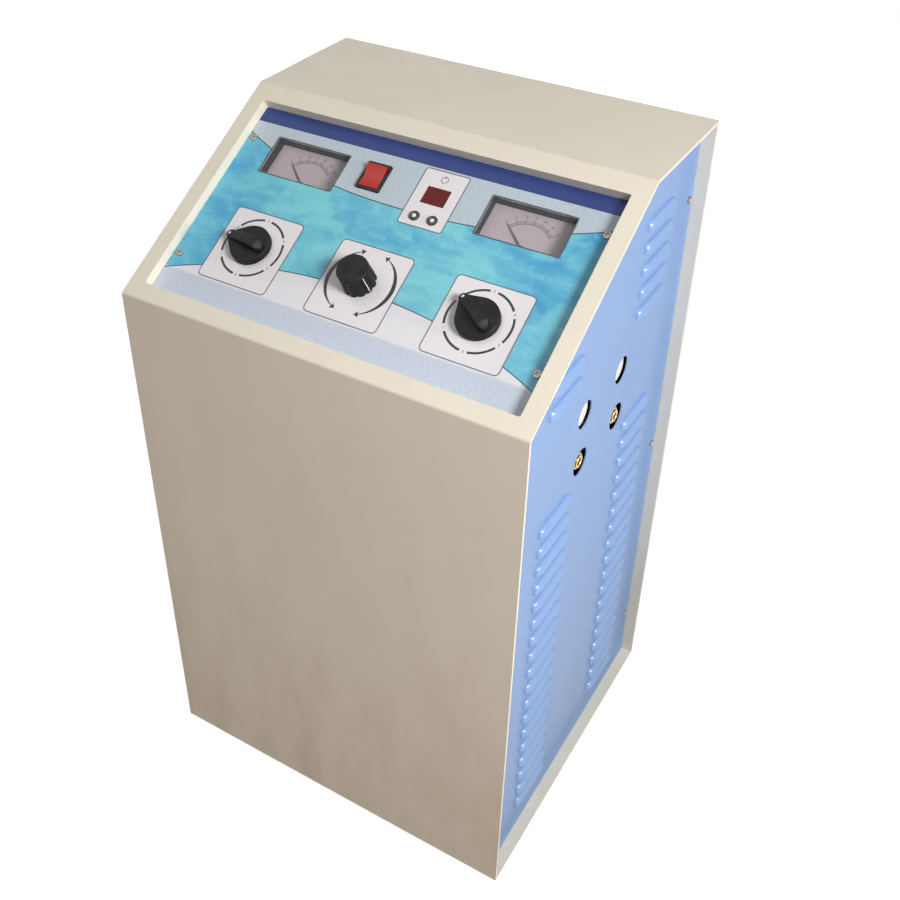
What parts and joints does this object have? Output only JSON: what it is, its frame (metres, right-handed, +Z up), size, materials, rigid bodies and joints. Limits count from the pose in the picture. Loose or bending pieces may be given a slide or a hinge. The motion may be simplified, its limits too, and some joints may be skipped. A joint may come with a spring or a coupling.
{
  "type": "shortwave diathermy machine",
  "caption": "Floor-standing shortwave diathermy machine: sheet-steel cabinet on castors, sloping control panel with meters and knobs, louvred sides, electrode outlets",
  "frame": {"origin": "On the floor under the middle of the cabinet's footprint", "axes": "+X is the operator's right, the side with the outlets; -Y is the front; +Z is up"},
  "size_m": [0.43, 0.382, 0.809],
  "materials": {
    "cream_enamel": "satin baked enamel",
    "blue_enamel": "satin baked enamel",
    "grey_enamel": "satin baked enamel",
    "zinc_steel": "zinc plated",
    "nickel_screw": "nickel plated",
    "brass_part": "turned brass",
    "printed_overlay": "printed polycarbonate",
    "black_moulding": "fine matt",
    "clear_glass": "clear",
    "dial_card": "printed matt",
    "aluminium_part": "rolled",
    "dark_needle": "matt",
    "red_rocker": "glossy",
    "dark_red_window": "glossy filter",
    "circuit_board": "solder mask",
    "button_plastic": "fine matt",
    "brown_bakelite": "moulded",
    "black_knob": "satin",
    "white_moulding": "satin",
    "copper_wire": "enamelled copper",
    "dark_laminations": "varnished",
    "castor_nylon": "moulded nylon"
  },
  "bodies": {
    "root": {"cabinet_wrap": "cream_enamel", "side_panel_left": "blue_enamel", "side_panel_right": "blue_enamel", "rear_panel": "grey_enamel", "inlet_plate": "grey_enamel", "base_pan": "grey_enamel", "side_frame_left": "zinc_steel", "side_frame_right": "zinc_steel", "chassis_shelf": "zinc_steel", "cabinet_screws": "nickel_screw", "castor_bolts": "nickel_screw", "bush_nuts": "nickel_screw", "board_spacers": "brass_part", "control_panel": "zinc_steel", "panel_overlay": "printed_overlay", "meter_cases": "black_moulding", "meter_windows": "clear_glass", "meter_dials": "dial_card", "meter_movements": "aluminium_part", "rocker_housing": "black_moulding", "display_window": "dark_red_window", "display_module": "black_moulding", "display_board": "circuit_board", "button_switches": "black_moulding", "rotary_switches": "brown_bakelite", "tuner_frame": "aluminium_part", "tuner_stator": "aluminium_part", "outlet_board": "brown_bakelite", "outlet_sockets": "brass_part", "outlet_blanks": "white_moulding", "valve_socket": "white_moulding", "oscillator_valve": "clear_glass", "coil_former": "white_moulding", "tank_winding": "copper_wire", "transformer_cores": "dark_laminations", "transformer_windings": "copper_wire", "smoothing_capacitors": "aluminium_part", "fan_housing": "black_moulding", "mains_inlet": "black_moulding", "castor_plates": "zinc_steel"},
    "needle_left": {"needle_left": "dark_needle"},
    "needle_right": {"needle_right": "dark_needle"},
    "rocker": {"mains_rocker": "red_rocker"},
    "button_left": {"button_left": "button_plastic"},
    "button_right": {"button_right": "button_plastic"},
    "selector": {"selector_knob": "black_knob", "selector_spindle": "brass_part"},
    "intensity": {"intensity_knob": "black_knob", "intensity_spindle": "brass_part"},
    "tuner": {"tuner_knob": "black_knob", "tuner_rotor": "aluminium_part"},
    "fan": {"fan_rotor": "black_moulding"},
    "swivel_front_left": {"castor_fork_front_left": "zinc_steel"},
    "wheel_front_left": {"castor_wheel_front_left": "castor_nylon"},
    "swivel_front_right": {"castor_fork_front_right": "zinc_steel"},
    "wheel_front_right": {"castor_wheel_front_right": "castor_nylon"},
    "swivel_rear_left": {"castor_fork_rear_left": "zinc_steel"},
    "wheel_rear_left": {"castor_wheel_rear_left": "castor_nylon"},
    "swivel_rear_right": {"castor_fork_rear_right": "zinc_steel"},
    "wheel_rear_right": {"castor_wheel_rear_right": "castor_nylon"}
  },
  "joints": [
    {"name": "selector_turn", "type": "hinge", "parent": "root", "child": "selector", "pos_m": [-0.1215, -0.108, 0.71284], "axis": [0, -0.5039, 0.8638], "range_deg": [-231, 69]},
    {"name": "intensity_turn", "type": "hinge", "parent": "root", "child": "intensity", "pos_m": [0.1215, -0.108, 0.71284], "axis": [0, -0.5039, 0.8638], "range_deg": [-237, 63]},
    {"name": "tuner_turn", "type": "hinge", "parent": "root", "child": "tuner", "pos_m": [0, -0.108, 0.71284], "axis": [0, -0.5039, 0.8638], "range_deg": [-90, 90]},
    {"name": "mains_rocker_throw", "type": "hinge", "parent": "root", "child": "rocker", "pos_m": [-0.0445, -0.01455, 0.76619], "axis": [1, 0, 0], "range_deg": [-22, 0]},
    {"name": "fan_spin", "type": "hinge", "parent": "root", "child": "fan", "pos_m": [0, 0.173, 0.316], "axis": [0, 1, 0], "continuous": true},
    {"name": "needle_left_swing", "type": "hinge", "parent": "root", "child": "needle_left", "pos_m": [-0.122, -0.02751, 0.74474], "axis": [0, -0.5039, 0.8638], "range_deg": [-96, 0], "stiffness_Nm_per_rad": 0.0005},
    {"name": "needle_right_swing", "type": "hinge", "parent": "root", "child": "needle_right", "pos_m": [0.118, -0.02751, 0.74474], "axis": [0, -0.5039, 0.8638], "range_deg": [-96, 0], "stiffness_Nm_per_rad": 0.0005},
    {"name": "button_left_press", "type": "slide", "parent": "root", "child": "button_left", "axis": [0, 0.5039, -0.8638], "range_m": [0, 0.0015], "stiffness_N_per_m": 200},
    {"name": "button_right_press", "type": "slide", "parent": "root", "child": "button_right", "axis": [0, 0.5039, -0.8638], "range_m": [0, 0.0015], "stiffness_N_per_m": 200},
    {"name": "swivel_front_left_turn", "type": "hinge", "parent": "root", "child": "swivel_front_left", "pos_m": [-0.155, -0.136, 0.055], "axis": [0, 0, 1], "continuous": true},
    {"name": "wheel_front_left_roll", "type": "hinge", "parent": "swivel_front_left", "child": "wheel_front_left", "pos_m": [-0.155, -0.12, 0.025], "axis": [1, 0, 0], "continuous": true},
    {"name": "swivel_front_right_turn", "type": "hinge", "parent": "root", "child": "swivel_front_right", "pos_m": [0.155, -0.136, 0.055], "axis": [0, 0, 1], "continuous": true},
    {"name": "wheel_front_right_roll", "type": "hinge", "parent": "swivel_front_right", "child": "wheel_front_right", "pos_m": [0.155, -0.12, 0.025], "axis": [1, 0, 0], "continuous": true},
    {"name": "swivel_rear_left_turn", "type": "hinge", "parent": "root", "child": "swivel_rear_left", "pos_m": [-0.155, 0.136, 0.055], "axis": [0, 0, 1], "continuous": true},
    {"name": "wheel_rear_left_roll", "type": "hinge", "parent": "swivel_rear_left", "child": "wheel_rear_left", "pos_m": [-0.155, 0.152, 0.025], "axis": [1, 0, 0], "continuous": true},
    {"name": "swivel_rear_right_turn", "type": "hinge", "parent": "root", "child": "swivel_rear_right", "pos_m": [0.155, 0.136, 0.055], "axis": [0, 0, 1], "continuous": true},
    {"name": "wheel_rear_right_roll", "type": "hinge", "parent": "swivel_rear_right", "child": "wheel_rear_right", "pos_m": [0.155, 0.152, 0.025], "axis": [1, 0, 0], "continuous": true}
  ]
}
